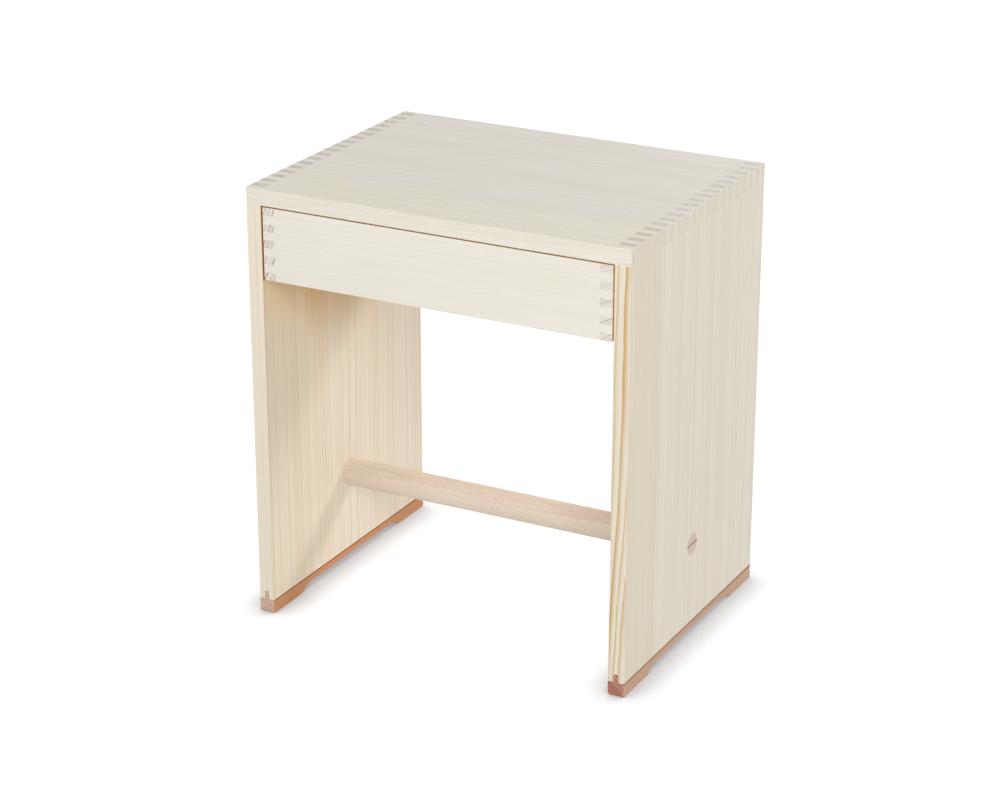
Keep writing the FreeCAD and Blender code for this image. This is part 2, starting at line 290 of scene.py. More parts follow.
# The wood's surface: drift of its roughness, heights of fibres and rings, strength of relief, and sheen
ROUGHNESS_DRIFT = (-0.05, 0.07)
FIBRE_HEIGHT = 0.6
RING_HEIGHT = 0.5
RELIEF = 0.35
SHEEN = 0.22

# How a change of tone acts on red, green and blue, as powers of it
WARM_DRIFT = (0.75, 1.0, 1.6)

# How much open air is left where another board covers a place fully and the painted shade is full, and where
# it isn't
COVERED = (0.62, 0.9)
COVER_SAMPLES = 12

# Painted shade in the drawer's gaps: deep, lighter where lit from the right, and warm painted light on end
# grain there
PAINTED_GAP_SHADE = (0.62, 0.34, 0.11)
PAINTED_LIT_GAP_SHADE = (0.95, 0.78, 0.56)
PAINTED_END_GAP_LIGHT = (1.28, 1.05, 0.75)

# Painted shade on the drawer in the gap over its front and at its sides, shown where another board is near
TOP_GAP = Shade(Axis.Y, -147.0, -145.0, PAINTED_GAP_SHADE, within=181.9, cover=4.0)
LEFT_GAP = Shade(Axis.X, -182.1, -181.9, PAINTED_GAP_SHADE, cover=4.0)
RIGHT_GAP = Shade(Axis.X, 182.1, 181.9, PAINTED_LIT_GAP_SHADE, cover=4.0)
RIGHT_END_GAP = replace(RIGHT_GAP, tint=PAINTED_END_GAP_LIGHT)

# How far from the stool's middle the sides get painted shade, so that only their inner faces do
INNER_FACE = 184.0

# How near the drawer must be for its painted shade on the sides, and the heights that its wide painted shade
# runs between
DRAWER_NEAR = 200.0
WIDE_SHADOW = (346.0, 225.0)

# The kinds of rays that show the background
SHOWING_RAYS = ("Camera", "Glossy", "Transmission")


class NodeSheet:
    """The node tree of one material or world, filled in step by step."""

    def __init__(self, owner: bpy.types.Material | bpy.types.World) -> None:
        """Starts an empty tree.

        Args:
            owner: What the tree belongs to.
        """
        owner.use_nodes = True
        self.owner = owner
        self.tree = owner.node_tree
        self.tree.nodes.clear()

    def feed(self, socket: Socket, value: Value) -> None:
        """Sets a socket's value, or links another socket to it.

        Args:
            socket: The input socket.
            value: A number, a colour, a vector or an output socket.
        """
        if isinstance(value, Socket):
            self.tree.links.new(value, socket)
        elif isinstance(value, tuple) and socket.type == "RGBA":
            socket.default_value = (*value, 1.0)
        else:
            socket.default_value = value

    def add(
        self, kind: str, feeds: dict[str | int, Value] | None = None, **settings: str | int,
    ) -> bpy.types.Node:
        """Adds a node.

        Args:
            kind: The node's type, without its common start.
            feeds: Values for its inputs, by name or number.
            settings: Values for its properties.

        Returns:
            The node.
        """
        node = self.tree.nodes.new("ShaderNode" + kind)
        for name, value in settings.items():
            setattr(node, name, value)
        for key, value in (feeds or {}).items():
            self.feed(node.inputs[key], value)
        return node

    def math(self, operation: str, first: Value, second: Value = 0.0) -> Socket:
        """Adds a sum.

        Args:
            operation: The kind of sum.
            first: Its first number.
            second: Its second number.

        Returns:
            The result.
        """
        return self.add("Math", {0: first, 1: second}, operation=operation).outputs[0]

    def total(self, *numbers: Value) -> Socket:
        """Adds numbers up, from the first to the last."""
        return reduce(partial(self.math, "ADD"), numbers)

    def product(self, *numbers: Value) -> Socket:
        """Multiplies numbers, from the first to the last."""
        return reduce(partial(self.math, "MULTIPLY"), numbers)

    def span(self, value: Value, low: float, high: float, start: float = 0.0, end: float = 1.0) -> Socket:
        """Maps a number from one range onto another, held at its ends.

        Args:
            value: The number.
            low: Start of its range.
            high: End of its range.
            start: Result at the start.
            end: Result at the end.

        Returns:
            The mapped number.
        """
        return self.add("MapRange", {0: value, 1: low, 2: high, 3: start, 4: end}).outputs[0]

    def stretch(self, vector: Value, factors: Value) -> Socket:
        """Scales a vector or a colour axis by axis."""
        return self.add("VectorMath", {0: vector, 1: factors}, operation="MULTIPLY").outputs[0]

    def length(self, vector: Value) -> Socket:
        """Gives a vector's length."""
        return self.add("VectorMath", {0: vector}, operation="LENGTH").outputs[1]

    def noise(self, vector: Value, lumps: Triple, layers: float = 2.0) -> Socket:
        """Adds a noise that is stretched along each axis.

        Args:
            vector: Where the noise is read.
            lumps: How many of its lumps fit in a millimetre, axis by axis.
            layers: How many finer layers it has.

        Returns:
            The noise, from 0 to 1 with its mean at a half.
        """
        place = self.stretch(vector, lumps)
        return self.add("TexNoise", {"Vector": place, "Scale": 1.0, "Detail": layers}).outputs[0]

    def swing(self, noise: Socket, reach: float) -> Socket:
        """Turns a noise into a change of up to reach either way."""
        return self.product(self.math("SUBTRACT", noise, 0.5), 2.0 * reach)

    def open_air(self, reach: float, samples: int) -> Socket:
        """Gives how much open air a place has within a reach in metres."""
        return self.add("AmbientOcclusion", {"Distance": reach}, samples=samples).outputs["AO"]

    def blend(self, share: Value, first: Value, second: Value) -> Socket:
        """Mixes two colours.

        Args:
            share: How much of the second is taken.
            first: The first colour.
            second: The second colour.

        Returns:
            The mixed colour.
        """
        return self.add("Mix", {0: share, 6: first, 7: second}, data_type="RGBA").outputs[2]

    def shade(self, colour: Value, factor: Value) -> Socket:
        """Scales a colour by a factor, so that the dark is warmer and the light is paler."""
        drift = {number: self.math("POWER", factor, power) for number, power in enumerate(WARM_DRIFT)}
        return self.stretch(colour, self.add("CombineXYZ", drift).outputs[0])

    def finish(self, shader: bpy.types.Node) -> None:
        """Joins the shader to the output."""
        kind = "OutputWorld" if isinstance(self.owner, bpy.types.World) else "OutputMaterial"
        self.add(kind, {"Surface": shader.outputs[0]})


class WoodShader:
    """Writes wood as solid growth rings round the tree's middle, so that faces, edges and ends agree."""

    def __init__(self, name: str, finish: WoodFinish, cut: LogCut) -> None:
        """Takes what the board is made of.

        Args:
            name: The material's name.
            finish: The wood's colours and texture.
            cut: Where in the tree the board comes from.
        """
        self.sheet = NodeSheet(bpy.data.materials.new(name))
        self.wood = finish
        self.cut = cut
        coordinates = self.sheet.add("TexCoord").outputs
        normal = self.sheet.add("SeparateXYZ", {0: coordinates["Normal"]}).outputs
        self.axes = self.sheet.add("SeparateXYZ", {0: coordinates["Object"]}).outputs
        self.end_facing = self.sheet.math("ABSOLUTE", normal[cut.grain.value[2]])
        self.front_facing = self.sheet.math("ABSOLUTE", normal["Y"])
        self.place = self.tree_place()

    def tree_place(self) -> Socket:
        """Lays the stool's axes along the tree.

        Returns:
            The place in the tree in millimetres, with its axis along Z.
        """
        cut = self.cut
        turned = self.sheet.add("CombineXYZ", {n: self.axes[axis] for n, axis in enumerate(cut.grain.value)})
        return self.sheet.add("Mapping", {
            "Vector": turned.outputs[0],
            "Location": (-cut.pith[0], -cut.pith[1], cut.along),
            "Rotation": (math.radians(cut.tilt[0]), math.radians(cut.tilt[1]), 0.0),
            "Scale": (1 / MM,) * 3,
        }).outputs[0]

    def rings(self) -> Socket:
        """Works out how far into summer growth each point is.

        Returns:
            0 in spring growth to 1 at the end of a clear year's summer growth.
        """
        sheet, cut, wood = self.sheet, self.cut, self.wood
        radius = sheet.length(sheet.stretch(self.place, (1.0, 1.0, 0.0)))
        stray = sheet.swing(sheet.noise(self.place, STRAY_LUMPS, PLAIN), cut.wander)
        ripple = sheet.swing(sheet.noise(self.place, RIPPLE_LUMPS), cut.ripple)
        years = sheet.math("DIVIDE", sheet.total(radius, stray, ripple), cut.ring)
        pace = {"W": years, "Scale": YEAR_PACE, "Detail": PLAIN}
        uneven = sheet.add("TexNoise", pace, noise_dimensions="1D").outputs[0]
        years = sheet.total(years, sheet.swing(uneven, YEAR_DRIFT))
        ramp = sheet.add("ValToRGB", {0: sheet.math("FRACT", years)})
        stops = ramp.color_ramp.elements
        for stop, level in zip(stops, SEASON_ENDS):
            stop.color = (level, level, level, 1.0)
        for position, level in SEASON:
            stops.new(position).color = (level, level, level, 1.0)
        year = sheet.add("TexWhiteNoise", {"W": sheet.math("FLOOR", years)}, noise_dimensions="1D")
        clear = sheet.math("POWER", year.outputs[0], wood.rare)
        return sheet.product(ramp.outputs[0], sheet.span(clear, 0.0, 1.0, wood.weakest, 1.0))

    def flecks(self) -> Socket:
        """Scatters short dark ray flecks along the grain.

        Returns:
            1 on a fleck and 0 off it.
        """
        sheet = self.sheet
        cells = sheet.add("TexVoronoi", {"Vector": sheet.stretch(self.place, FLECK_LUMPS), "Scale": 1.0})
        spot = sheet.span(cells.outputs["Distance"], *FLECK_RIM, 1.0, 0.0)
        group = sheet.span(sheet.noise(self.place, FLECK_GROUP_LUMPS, PLAIN), *FLECK_GROUP)
        return sheet.product(spot, group)

    def planed(self, late: Socket, fibre: Socket, glue_lines: tuple[float, ...]) -> Socket:
        """Colours the planed faces.

        Args:
            late: How far into summer growth each point is.
            fibre: The noise of fine fibres.
            glue_lines: Where along Y the board is glued to the next, in millimetres.

        Returns:
            Their colour.
        """
        sheet, wood = self.sheet, self.wood
        streak = sheet.noise(self.place, STREAK_LUMPS)
        cloud = sheet.noise(self.place, CLOUD_LUMPS)
        clear = sheet.span(self.front_facing, *FRONT_TURN, wood.figure, wood.front_figure)
        clear = sheet.product(clear, sheet.span(cloud, *NOISE_BULK, FAINT_FIGURE, 1.0))
        face = sheet.blend(sheet.product(late, clear), wood.early, wood.late)
        # Faces turned to the front or the back get a painted shade on top of the wood's own tone
        front = sheet.stretch(face, wood.front_painted_shade)
        face = sheet.blend(sheet.span(self.front_facing, *FRONT_TURN), face, front)
        if wood.flecks:
            face = sheet.blend(sheet.product(self.flecks(), wood.flecks), face, wood.fleck_tone)
        swings = ((fibre, wood.fibre), (cloud, wood.cloud), (streak, wood.streak))
        level = sheet.total(*(sheet.swing(noise, reach) for noise, reach in swings), 1.0)
        for line in glue_lines:
            gap = sheet.math("ABSOLUTE", sheet.math("SUBTRACT", self.axes["Y"], line * MM))
            level = sheet.product(level, sheet.span(gap, *GLUE_LINE, GLUE_TONE, 1.0))
        return sheet.shade(face, level)

    def sawn(self, late: Socket) -> Socket:
        """Colours the end grain.

        Args:
            late: How far into summer growth each point is.

        Returns:
            Its colour.
        """
        sheet, wood = self.sheet, self.wood
        ends = sheet.blend(sheet.math("POWER", late, wood.end_lines), wood.end_early, wood.end_late)
        speckle = sheet.swing(sheet.noise(self.place, SPECKLE_LUMPS), SPECKLE)
        return sheet.shade(ends, sheet.total(speckle, 1.0))

    def tinted(self, colour: Socket, shade: Shade) -> Socket:
        """Tints one part of the board: painted shade in a gap or under the drawer, or a dark line along a
        joint.

        Args:
            colour: The wood's colour.
            shade: Where the part lies, and its tint.

        Returns:
            The colour with the tint in it.
        """
        sheet = self.sheet
        share = sheet.product(
            sheet.span(self.axes[shade.axis.value], shade.full * MM, shade.clear * MM, 1.0, 0.0),
            sheet.span(self.front_facing, *UNTINTED_TURN, 1.0, 0.0),
            sheet.span(self.axes["Z"], (shade.above - 1) * MM, shade.above * MM),
            sheet.math("LESS_THAN", sheet.math("ABSOLUTE", self.axes["X"]), shade.within * MM),
        )
        # The painted shade shows only where another board is near
        if shade.cover:
            open_air = sheet.open_air(shade.cover * MM, COVER_SAMPLES)
            share = sheet.product(share, sheet.span(open_air, *COVERED, 1.0, 0.0))
        return sheet.blend(share, colour, sheet.stretch(colour, shade.tint))

    def make(self, glue_lines: tuple[float, ...] = (), shades: tuple[Shade, ...] = ()) -> bpy.types.Material:
        """Builds the whole material.

        Args:
            glue_lines: Where along Y the board is glued to the next, in millimetres.
            shades: The parts of it with painted shade in a gap or under the drawer, or a dark line along a
                joint.

        Returns:
            The material.
        """
        sheet, wood = self.sheet, self.wood
        late = self.rings()
        fibre = sheet.noise(self.place, FIBRE_LUMPS, FINE)
        face = self.planed(late, fibre, glue_lines)
        colour = sheet.blend(sheet.span(self.end_facing, *END_TURN), face, self.sawn(late))
        for shade in shades:
            colour = self.tinted(colour, shade)
        smoothest, roughest = (wood.roughness + drift for drift in ROUGHNESS_DRIFT)
        height = sheet.total(sheet.product(fibre, FIBRE_HEIGHT), sheet.product(late, RING_HEIGHT))
        bump = sheet.add("Bump", {"Strength": RELIEF, "Distance": wood.relief * MM, "Height": height})
        sheet.finish(sheet.add("BsdfPrincipled", {
            "Base Color": colour,
            "Roughness": sheet.span(fibre, *NOISE_BULK, smoothest, roughest),
            "Normal": bump.outputs[0],
            "Specular IOR Level": SHEEN,
        }))
        return sheet.owner


def steel_material(name: str, steel: SteelFinish) -> bpy.types.Material:
    """Builds the screws' steel.

    Args:
        name: The material's name.
        steel: Its colours and roughness.

    Returns:
        The material.
    """
    sheet = NodeSheet(bpy.data.materials.new(name))
    place = sheet.stretch(sheet.add("TexCoord").outputs["Object"], (1 / MM,) * 3)
    smoothest, roughest = (steel.roughness + drift for drift in steel.drift)
    sheet.finish(sheet.add("BsdfPrincipled", {
        "Base Color": sheet.blend(sheet.noise(place, steel.patches, FINE), steel.dull, steel.bright),
        "Roughness": sheet.span(sheet.noise(place, steel.marks), *NOISE_BULK, smoothest, roughest),
        "Metallic": 1.0,
    }))
    return sheet.owner


def dress(piece: Piece, material: bpy.types.Material) -> None:
    """Gives a piece one material all over."""
    piece.data.materials.clear()
    piece.data.materials.append(material)


# Finishes of the stool's woods and of its screws
SPRUCE = WoodFinish(
    early=tone(239, 232, 217), late=tone(216, 199, 170),
    end_early=tone(226, 219, 208), end_late=tone(178, 163, 148),
)
SEAT_SPRUCE = replace(
    SPRUCE, early=tone(236, 231, 221), late=tone(220, 209, 190),
    end_early=tone(236, 229, 214), end_late=tone(222, 211, 193),
    figure=0.45, fibre=0.1, streak=0.07,
)
# Its front face is darkened by a painted shade
YELLOW_SEAT_SPRUCE = replace(
    SEAT_SPRUCE, early=tone(238, 232, 218), late=tone(220, 206, 181),
    figure=0.6, front_figure=0.9, front_painted_shade=(0.94, 0.945, 0.955),
)
PANEL_SPRUCE = replace(
    SPRUCE, early=tone(241, 234, 219), late=tone(212, 190, 156),
    figure=0.85, fibre=0.1, weakest=0.1, rare=3.0,
)
# Its front faces are darkened by a painted shade
OCHRE_SPRUCE = replace(
    PANEL_SPRUCE, early=tone(238, 229, 210), late=tone(210, 172, 116),
    figure=0.35, front_figure=1.25, front_painted_shade=(0.935, 0.93, 0.93), weakest=0.7, rare=1.3,
)
WARM_SPRUCE = replace(
    SPRUCE, early=tone(239, 231, 216), late=tone(212, 176, 124),
    end_early=tone(225, 217, 206), end_late=tone(156, 127, 109),
    figure=0.75, front_figure=0.9, fibre=0.07, weakest=0.15, rare=2.0,
)
# A darker, warmer copy for the left front stave: partly its own tone, partly a painted shade of the drawer
WARM_FRONT_SPRUCE = replace(WARM_SPRUCE, early=tone(236, 227, 209), late=tone(206, 172, 122))
DRAWER_SPRUCE = replace(
    SPRUCE, early=tone(234, 229, 218), late=tone(222, 210, 190),
    figure=0.2, fibre=0.05, streak=0.03, cloud=0.05,
)
LEFT_DRAWER_SPRUCE = replace(
    SPRUCE, end_early=tone(234, 227, 217), end_late=tone(122, 66, 38), end_lines=1.0,
)
RIGHT_DRAWER_SPRUCE = replace(
    SPRUCE, end_early=tone(230, 223, 212), end_late=tone(162, 148, 136), end_lines=0.9,
)
BEECH = WoodFinish(
    early=tone(226, 212, 198), late=tone(208, 187, 168),
    end_early=tone(227, 209, 191), end_late=tone(202, 178, 157),
    fibre=0.13, flecks=0.45, roughness=0.5, relief=0.015,
)
LEFT_FOOT_WOOD = WoodFinish(
    early=tone(208, 152, 110), late=tone(178, 118, 80),
    end_early=tone(212, 182, 163), end_late=tone(172, 132, 112),
    figure=0.7, fibre=0.16, cloud=0.08, roughness=0.52,
)
RIGHT_FOOT_WOOD = replace(
    LEFT_FOOT_WOOD, early=tone(214, 175, 149), late=tone(180, 132, 105),
    end_early=tone(158, 94, 76), end_late=tone(248, 216, 200), end_lines=1.0,
)
WEDGE_WOOD = WoodFinish(
    early=tone(204, 166, 148), late=tone(182, 138, 118),
    end_early=tone(198, 158, 140), end_late=tone(176, 132, 114),
    roughness=0.5,
)
PLYWOOD = WoodFinish(
    early=tone(228, 202, 164), late=tone(210, 176, 132),
    end_early=tone(196, 164, 126), end_late=tone(150, 116, 84),
    figure=0.7, fibre=0.06, roughness=0.6,
)
STEEL = SteelFinish()


@dataclass(frozen=True)
class Board:
    """A CAD node with the wood and the cut that it is dressed in.

    Attributes:
        node: The node's name.
        wood: Its wood.
        cut: Where in the tree it comes from.
        glue_lines: Where along Y it is glued to the next board, in millimetres.
        shades: The parts of it with painted shade or a dark joint line.
    """

    node: str
    wood: WoodFinish
    cut: LogCut
    glue_lines: tuple[float, ...] = ()
    shades: tuple[Shade, ...] = ()

    def dress(self) -> str:
        """Dresses the node.

        Returns:
            The node's name.
        """
        shader = WoodShader(f"{self.node}_wood", self.wood, self.cut)
        dress(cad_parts[self.node], shader.make(self.glue_lines, self.shades))
        return self.node


@dataclass(frozen=True)
class Stave:
    """One board of a panel that is glued up from staves.

    Attributes:
        width: Its width along Y.
        wood: Its wood.
        pith: Where the tree's middle lies across the grain.
        tilt: How far the tree's axis leans from the stave's, in degrees.
        wander: How far the rings stray over a hand's length.
        ripple: How far they stray over a finger's width.
    """

    width: float
    wood: WoodFinish
    pith: Pair
    tilt: float
    wander: float = 2.6
    ripple: float = 0.35


def stave_lines(staves: tuple[Stave, ...], depth: float) -> tuple[float, ...]:
    """Gives where along Y the glued joints between a panel's staves lie."""
    return tuple(accumulate((stave.width for stave in staves[:-1]), initial=-depth / 2))[1:]


class SubAssembly(ABC):
    """A part of the stool that is made and fitted as one."""

    @abstractmethod
    def build(self) -> Iterator[str]:
        """Makes and dresses the pieces one by one.

        Yields:
            Each piece's name.
        """


def select_only(piece: Piece) -> None:
    """Leaves only one object selected and active.

    Args:
        piece: The object.
    """
    bpy.ops.object.select_all(action="DESELECT")
    piece.select_set(True)
    bpy.context.view_layer.objects.active = piece


def settle(piece: Piece) -> None:
    """Puts a piece's place and turn into its mesh."""
    select_only(piece)
    bpy.ops.object.transform_apply(location=True, rotation=True, scale=True)


def start_piece(name: str) -> Piece:
    """Names the primitive that was just added and puts its place into its mesh.

    Args:
        name: The piece's name.

    Returns:
        The piece.
    """
    piece = bpy.context.active_object
    piece.name = piece.data.name = name
    settle(piece)
    return piece


def smooth(piece: Piece) -> None:
    """Shades a piece's round faces smooth and keeps its edges sharp."""
    select_only(piece)
    bpy.ops.object.shade_smooth_by_angle(angle=SMOOTH_ANGLE)


def end_face(piece: Piece, side: Side) -> None:
    """Opens a piece in edit mode with only its outermost face on one side selected.

    Args:
        piece: The piece.
        side: Which side.
    """
    select_only(piece)
    bpy.ops.object.mode_set(mode="EDIT")
    bpy.ops.mesh.select_mode(type="FACE")
    bpy.ops.mesh.select_all(action="DESELECT")
    bpy.ops.object.mode_set(mode="OBJECT")
    faces = piece.data.polygons
    reach = max(side.value * face.center.x for face in faces)
    for face in faces:
        face.select = side.value * face.center.x > reach - NEAR
    bpy.ops.object.mode_set(mode="EDIT")


def push_out(distance: float, side: Side, shrink: float = 1.0) -> None:
    """Extrudes the selected face along X and narrows it.

    Args:
        distance: How far, in millimetres.
        side: Which way.
        shrink: The new face's size against the old one.
    """
    bpy.ops.mesh.extrude_region_move(TRANSFORM_OT_translate={"value": (side.value * distance * MM, 0, 0)})
    if shrink != 1.0:
        bpy.ops.transform.resize(value=(1.0, shrink, shrink))


def carve(piece: Piece, cutter: Piece) -> None:
    """Cuts one piece out of another and deletes the cutter.

    Args:
        piece: The piece that is cut.
        cutter: The shape that is taken out.
    """
    select_only(piece)
    modifier = piece.modifiers.new("carve", "BOOLEAN")
    modifier.operation, modifier.solver, modifier.object = "DIFFERENCE", "EXACT", cutter
    bpy.ops.object.modifier_apply(modifier=modifier.name)
    bpy.data.objects.remove(cutter)


@dataclass
class Seat(SubAssembly):
    """The seat panel, glued up from four staves that run from side to side.

    Attributes:
        depth: Its depth.
        staves: Its staves, from the front.
        ring: Mean width of a year's growth.
        lean: How far the trees' axes lean in its plane, in degrees.
        spacing: How far apart along the tree the staves start.
    """

    depth: float = 300.0
    staves: tuple[Stave, ...] = (
        Stave(72.0, YELLOW_SEAT_SPRUCE, (-112.0, 385.0), 0.5, 2.5),
        Stave(76.0, SEAT_SPRUCE, (50.0, 360.0), 0.1, 2.5),
        Stave(76.0, SEAT_SPRUCE, (-64.0, 380.0), -0.3, 2.5),
        Stave(76.0, SEAT_SPRUCE, (132.0, 510.0), -0.7, 2.5),
    )
    ring: float = 2.0
    lean: float = 0.9
    spacing: float = 900.0

    def build(self) -> Iterator[str]:
        """Dresses the staves.

        Yields:
            Each stave's name.
        """
        lines = stave_lines(self.staves, self.depth)
        for number, (name, stave) in enumerate(zip(STAVE_NAMES, self.staves)):
            cut = LogCut(
                Grain.ALONG_X, stave.pith, self.ring, stave.wander, stave.ripple,
                (stave.tilt, self.lean), self.spacing * number,
            )
            yield Board(f"seat_{name}_stave", stave.wood, cut, lines).dress()


def painted_drawer_shade(full: float, clear: float, tint: Colour) -> Shade:
    """Paints the drawer's shade on a side's inner face between two heights, where the drawer is over it."""
    return Shade(Axis.Z, full, clear, tint, within=INNER_FACE, cover=DRAWER_NEAR)


@dataclass
class SidePanel(SubAssembly):
    """One side, glued up from four upright staves.

    Attributes:
        side: Which side.
        staves: Its staves, from the front.
        ring: Mean width of a year's growth.
        gap_painted_shade: Its painted shade in the drawer's gap.
        gap: Where along Y that tint is full, and where it ends.
        gap_low: The gap's lower end.
        shadows: The painted shade of each stave under the drawer, warm in hue.
        depth: Its depth.
        spacing: How far apart along the tree the staves start.
        shift: How far each side's trees are shifted, so that the sides differ.
    """

    side: Side
    staves: tuple[Stave, ...]
    ring: float
    gap_painted_shade: Colour
    gap: Pair = (-146.0, -144.5)
    gap_low: float = 349.5
    # Painted shade under the drawer, warm in hue, which shows only while the drawer is near
    shadows: tuple[tuple[Shade, ...], ...] = (
        (painted_drawer_shade(*WIDE_SHADOW, (1.03, 0.96, 0.87)), painted_drawer_shade(322.0, 252.0, (0.92, 0.83, 0.68))),
        (painted_drawer_shade(*WIDE_SHADOW, (1.04, 0.93, 0.72)), painted_drawer_shade(300.0, 240.0, (0.88, 0.74, 0.54))),
        (painted_drawer_shade(*WIDE_SHADOW, (1.04, 0.94, 0.76)), painted_drawer_shade(292.0, 238.0, (0.87, 0.72, 0.52))),
        (painted_drawer_shade(*WIDE_SHADOW, (1.06, 0.97, 0.85)),),
    )
    depth: float = 300.0
    spacing: float = 700.0
    shift: float = 90.0

    def build(self) -> Iterator[str]:
        """Dresses the staves.

        Yields:
            Each stave's name.
        """
        lines = stave_lines(self.staves, self.depth)
        # Painted shade in the drawer's gap, on the front stave's inner face
        gap = Shade(Axis.Y, *self.gap, self.gap_painted_shade, self.gap_low, INNER_FACE)
        for number, (name, stave) in enumerate(zip(STAVE_NAMES, self.staves)):
            cut = LogCut(
                Grain.ALONG_Z, stave.pith, self.ring, stave.wander, stave.ripple,
                (stave.tilt, 0.0), self.spacing * number + self.shift * self.side.value,
            )
            shades = self.shadows[number] + ((gap,) if number == 0 else ())
            yield Board(f"{self.side.word}_side_{name}_stave", stave.wood, cut, lines, shades).dress()


@dataclass
class FootRails(SubAssembly):
    """The hardwood rails that the sides stand on.

    Attributes:
        joint: The dark line along a rail's top edge.
        left_cut: Where in the tree the left rail comes from.
        right_cut: Where the right one does.
    """

    joint: Shade = Shade(Axis.Z, 13.1, 12.3, (0.5, 0.34, 0.26))
    left_cut: LogCut = LogCut(Grain.ALONG_Y, (-159.75, -65.0), 2.4, 1.2, tilt=(0.6, 0.4))
    right_cut: LogCut = LogCut(Grain.ALONG_Y, (125.75, -49.0), 3.0, 1.2, tilt=(0.5, 0.3), along=500.0)

    def build(self) -> Iterator[str]:
        """Dresses both rails.

        Yields:
            Each rail's name.
        """
        yield Board("left_foot_rail", LEFT_FOOT_WOOD, self.left_cut, shades=(self.joint,)).dress()
        yield Board("right_foot_rail", RIGHT_FOOT_WOOD, self.right_cut, shades=(self.joint,)).dress()


@dataclass
class StretcherRod(SubAssembly):
    """The round rod between the sides, its tenons through them and the wedges that spread these.

    Attributes:
        diameter: The rod's diameter.
        length: Its length between the shoulders.
        height: Its middle's height.
        tenon_diameter: A tenon's diameter.
        tenon_length: Its length.
        arris: How far its rim is eased.
        kerf: The wedge's cut at its mouth and at its floor.
        kerf_depth: That cut's depth.
        kerf_over: How far the cutter reaches past the tenon's end.
        segments: How many flats the round is made of.
        cut: Where in the tree the rod comes from.
        wedge_cut: Where the wedges do.
    """

    diameter: float = 28.0
    length: float = 367.0
    height: float = 97.5
    tenon_diameter: float = 22.0
    tenon_length: float = 16.5
    arris: float = 0.4
    kerf: Pair = (3.0, 1.2)
    kerf_depth: float = 13.0
    kerf_over: float = 1.0
    segments: int = 96
    cut: LogCut = LogCut(Grain.ALONG_X, (34.0, 60.0), 2.0, 1.5, tilt=(0.5, 0.3))
    wedge_cut: LogCut = LogCut(Grain.ALONG_X, (-30.0, 70.0), 1.6, 0.8, along=60.0)

    def rod(self) -> Piece:
        """Turns the rod from a cylinder: shoulder, tenon and eased rim at each end.

        Returns:
            The rod.
        """
        bpy.ops.mesh.primitive_cylinder_add(
            vertices=self.segments, radius=self.diameter / 2 * MM, depth=self.length * MM,
            location=(0, 0, self.height * MM), rotation=(0, math.pi / 2, 0),
        )
        rod = start_piece("turned_rod")
        shoulder = (self.diameter - self.tenon_diameter) / 2
        for side in Side:
            end_face(rod, side)
            bpy.ops.mesh.inset(thickness=shoulder * MM)
            push_out(self.tenon_length - self.arris, side)
            push_out(self.arris, side, 1 - 2 * self.arris / self.tenon_diameter)
            bpy.ops.object.mode_set(mode="OBJECT")
        for side in Side:
            carve(rod, self.kerf_cutter(side))
        smooth(rod)
        return rod

    def kerf_cutter(self, side: Side) -> Piece:
        """Makes the tapered shape of the saw cut that takes the wedge.

        Args:
            side: Which end of the rod.

        Returns:
            The cutter.
        """
        end = self.length / 2 + self.tenon_length + self.kerf_over
        depth = self.kerf_depth + self.kerf_over
        mouth = self.kerf[1] + (self.kerf[0] - self.kerf[1]) * depth / self.kerf_depth
        bpy.ops.mesh.primitive_cube_add(
            size=1.0, location=(side.value * (end - depth / 2) * MM, 0, self.height * MM),
            scale=(depth * MM, 2 * self.diameter * MM, mouth * MM),
        )
        cutter = start_piece(f"{side.word}_kerf")
        end_face(cutter, side.other)
        bpy.ops.transform.resize(value=(1.0, 1.0, self.kerf[1] / mouth))
        bpy.ops.object.mode_set(mode="OBJECT")
        return cutter

    def build(self) -> Iterator[str]:
        """Makes the rod and dresses it and its wedges.

        Yields:
            Each piece's name.
        """
        rod = self.rod()
        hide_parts("stretcher_rod")
        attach(rod, CARCASS)
        dress(rod, WoodShader("turned_rod_wood", BEECH, self.cut).make())
        yield rod.name
        for side in Side:
            cut = replace(self.wedge_cut, along=side.value * self.wedge_cut.along)
            yield Board(f"{side.word}_rod_wedge", WEDGE_WOOD, cut).dress()


